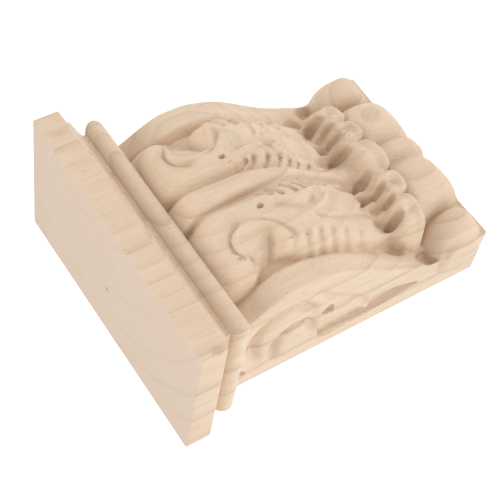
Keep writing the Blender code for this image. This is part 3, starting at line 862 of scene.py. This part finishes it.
ring_use = use_group(rings)
fibre_use = use_group(fibres)
seam_use = use_group(seams)
end_use = tree.nodes.new("ShaderNodeGroup")
end_use.node_tree = end_grain
tree.links.new(coordinates.outputs["Normal"], end_use.inputs["Normal"])
colour = mix_colour(tree, ring_use.outputs["Late wood"], (0.755, 0.592, 0.435, 1.0), (0.50, 0.335, 0.215, 1.0))
slow_share = remap(tree, ring_use.outputs["Slow tint"], 0.35, 0.7)
colour = mix_colour(tree, math_node(tree, "MULTIPLY", slow_share, 0.5), colour, (0.69, 0.515, 0.36, 1.0))
streak_share = remap(tree, fibre_use.outputs["Streak"], 0.35, 0.7)
colour = mix_colour(tree, math_node(tree, "MULTIPLY", streak_share, 0.35), colour, (0.60, 0.43, 0.30, 1.0))
tone_share = math_node(tree, "MULTIPLY", seam_use.outputs["Strip tone"], 0.3)
colour = mix_colour(tree, tone_share, colour, (0.66, 0.49, 0.35, 1.0))
colour = mix_colour(tree, math_node(tree, "MULTIPLY", seam_use.outputs["Seam"], 0.14), colour, (0.52, 0.33, 0.20, 1.0))
colour = mix_colour(tree, math_node(tree, "MULTIPLY", fibre_use.outputs["Pores"], 0.8), colour, (0.38, 0.20, 0.10, 1.0))
end_share = math_node(tree, "MULTIPLY", end_use.outputs["End grain"], 0.6)
colour = mix_colour(tree, end_share, colour, (0.70, 0.585, 0.485, 1.0))
SPOTS = [((1.0, -26.0, 75.0), (2.8, 1.9, 2.0), 0.7, (0.50, 0.28, 0.16, 1.0)),
         ((50.0, -62.0, 69.0), (3.4, 3.0, 7.0), 0.5, (0.56, 0.36, 0.22, 1.0)),
         ((-59.0, -62.0, 67.5), (3.8, 3.0, 5.5), 0.55, (0.52, 0.34, 0.20, 1.0)),
         ((-28.7, -60.0, 38.5), (1.1, 6.0, 2.6), 0.8, (0.40, 0.17, 0.08, 1.0)),
         ((-29.3, -58.0, 16.5), (1.0, 7.0, 2.2), 0.6, (0.42, 0.22, 0.11, 1.0)),
         ((-29.8, -57.0, 9.5), (1.0, 7.0, 1.6), 0.6, (0.42, 0.22, 0.11, 1.0))]
for centre, size, amount, tint in SPOTS:
    mark = use_group(spot, Centre_mm=centre, Size_mm=size, Raggedness=0.9)
    colour = mix_colour(tree, math_node(tree, "MULTIPLY", mark.outputs["Mask"], amount), colour, tint)
tree.links.new(colour, shader.inputs["Base Color"])
tree.links.new(remap(tree, fibre_use.outputs["Streak"], 0.3, 0.7, 0.56, 0.7), shader.inputs["Roughness"])
bump = tree.nodes.new("ShaderNodeBump")
bump.inputs["Strength"].default_value = 0.25
bump.inputs["Distance"].default_value = 0.0002
tree.links.new(fibre_use.outputs["Height"], bump.inputs["Height"])
tree.links.new(bump.outputs["Normal"], shader.inputs["Normal"])
corbel.data.materials.clear()
corbel.data.materials.append(wood)
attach(corbel, "root")
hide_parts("corbel")
print("spots laid on the wood:", len(SPOTS))

# %% [markdown]
# ## Floor, light and camera
#
# The corbel stands on a pale floor under soft, even studio light. The camera looks
# from above and to one side, and it is rolled, so the corbel lies across the frame.

# %% Stage
bpy.ops.mesh.primitive_plane_add(size=6, location=(0, 0, -TOP * MM - 0.0004))
floor = bpy.context.object
floor.name = "floor"
paper = bpy.data.materials.new("floor_paper")
paper.use_nodes = True
paper.node_tree.nodes["Principled BSDF"].inputs["Base Color"].default_value = (0.3, 0.3, 0.3, 1.0)
paper.node_tree.nodes["Principled BSDF"].inputs["Roughness"].default_value = 0.8
paper.node_tree.nodes["Principled BSDF"].inputs["Emission Color"].default_value = (0.95, 0.975, 1.0, 1.0)
paper.node_tree.nodes["Principled BSDF"].inputs["Emission Strength"].default_value = 1.02
floor.data.materials.append(paper)

world = bpy.data.worlds.new("studio")
bpy.context.scene.world = world
world.use_nodes = True
world.node_tree.nodes["Background"].inputs["Color"].default_value = (1.0, 1.0, 1.0, 1.0)
world.node_tree.nodes["Background"].inputs["Strength"].default_value = 0.6


def area_light(name, place, size, power, colour=(1.0, 1.0, 1.0)):
    """A soft square light that points at the corbel."""
    data = bpy.data.lights.new(name, "AREA")
    data.shape = "SQUARE"
    data.size = size
    data.energy = power
    data.color = colour
    light = bpy.data.objects.new(name, data)
    light.location = place
    aim = -light.location
    light.rotation_euler = aim.to_track_quat("-Z", "Y").to_euler()
    bpy.context.scene.collection.objects.link(light)
    return light


key = area_light("key", (0.25, -0.45, 1.3), 0.6, 8.2, (1.0, 0.985, 0.96))
side_fill = area_light("side_fill", (-1.35, -0.1, 0.25), 0.8, 5.4, (0.97, 0.985, 1.0))

CAMERA_PLACE = (-0.229588, -0.434207, 0.223272)
CAMERA_RIGHT = (-0.5455541937, -0.1249462777, -0.8287092671)
CAMERA_DOWN = (-0.7172194564, 0.5811424113, 0.3845383584)
CAMERA_AHEAD = (0.4335514653, 0.8041529242, -0.4066585810)
camera_data = bpy.data.cameras.new("photo_camera")
camera_data.sensor_width = 36.0
camera_data.lens = 93.18
camera = bpy.data.objects.new("photo_camera", camera_data)
rows_of_view = zip(CAMERA_RIGHT, CAMERA_DOWN, CAMERA_AHEAD, CAMERA_PLACE)
camera.matrix_world = Matrix([(right, -down, -ahead, spot) for right, down, ahead, spot in rows_of_view]
                             + [(0, 0, 0, 1)])
bpy.context.scene.collection.objects.link(camera)
bpy.context.scene.camera = camera
bpy.context.scene.view_settings.view_transform = "Standard"
